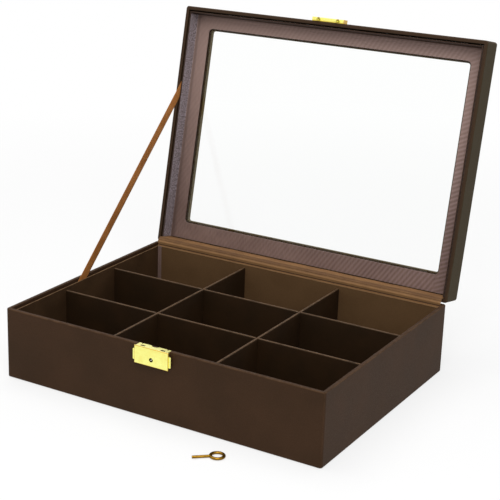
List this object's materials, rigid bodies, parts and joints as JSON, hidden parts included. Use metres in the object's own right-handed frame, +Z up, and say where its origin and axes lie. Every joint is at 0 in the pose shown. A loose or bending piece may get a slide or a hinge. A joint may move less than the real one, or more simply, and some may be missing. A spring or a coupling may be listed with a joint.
{
  "type": "tie box",
  "caption": "Leatherette tie and jewellery box with a glass-topped hinged lid on a stay strap, a halved divider grid, a brass lock with catch, and its loose key.",
  "frame": {"origin": "centre of the underside of the base", "axes": "+X to the right along the front, +Y to the hinge side, +Z up; the lid stands open as in the picture"},
  "size_m": [0.36, 0.4002, 0.3434],
  "materials": {
    "leatherette": "matt, fine grain",
    "board": "raw",
    "lining_cloth": "fine rib",
    "glass": "polished",
    "lock_brass": "bright",
    "key_brass": "satin",
    "tan_leather": "smooth"
  },
  "bodies": {
    "base": {"base_wrap": "leatherette", "base_liner_front": "leatherette", "base_liner_back": "leatherette", "base_liner_left": "leatherette", "base_liner_right": "leatherette", "divider_cross_1": "leatherette", "divider_cross_2": "leatherette", "divider_long_1": "leatherette", "divider_long_2": "leatherette", "base_bottom_cover": "leatherette", "base_front_board": "board", "base_back_board": "board", "base_left_board": "board", "base_right_board": "board", "base_bottom_board": "board", "base_liner_floor": "lining_cloth", "liner_corner_tape": "lining_cloth", "lock_case": "lock_brass", "lock_back_plate": "lock_brass", "lock_post": "lock_brass", "hinge_strip": "tan_leather", "stay_strap": "tan_leather"},
    "lid": {"lid_front_board": "board", "lid_back_board": "board", "lid_left_board": "board", "lid_right_board": "board", "lid_panel_board": "board", "lid_wrap": "leatherette", "lid_glass": "glass", "lid_lining_frame": "lining_cloth", "lid_lining_front": "lining_cloth", "lid_lining_left": "lining_cloth", "lid_lining_right": "lining_cloth", "lid_catch": "lock_brass"},
    "lock_bolt": {"lock_bolt": "lock_brass"},
    "key": {"key": "key_brass"}
  },
  "joints": [
    {"name": "lid_hinge", "type": "hinge", "parent": "base", "child": "lid", "pos_m": [0, 0.1354, 0.07465], "axis": [-1, 0, 0], "range_deg": [-101.6, 0], "deforming": ["hinge_strip", "stay_strap"]},
    {"name": "lock_bolt_slide", "type": "slide", "parent": "base", "child": "lock_bolt", "axis": [1, 0, 0], "range_m": [0, 0.0018]},
    {"name": "key_lift", "type": "slide", "parent": "base", "child": "key", "axis": [0, 0, 1], "range_m": [0, 0.05]}
  ]
}
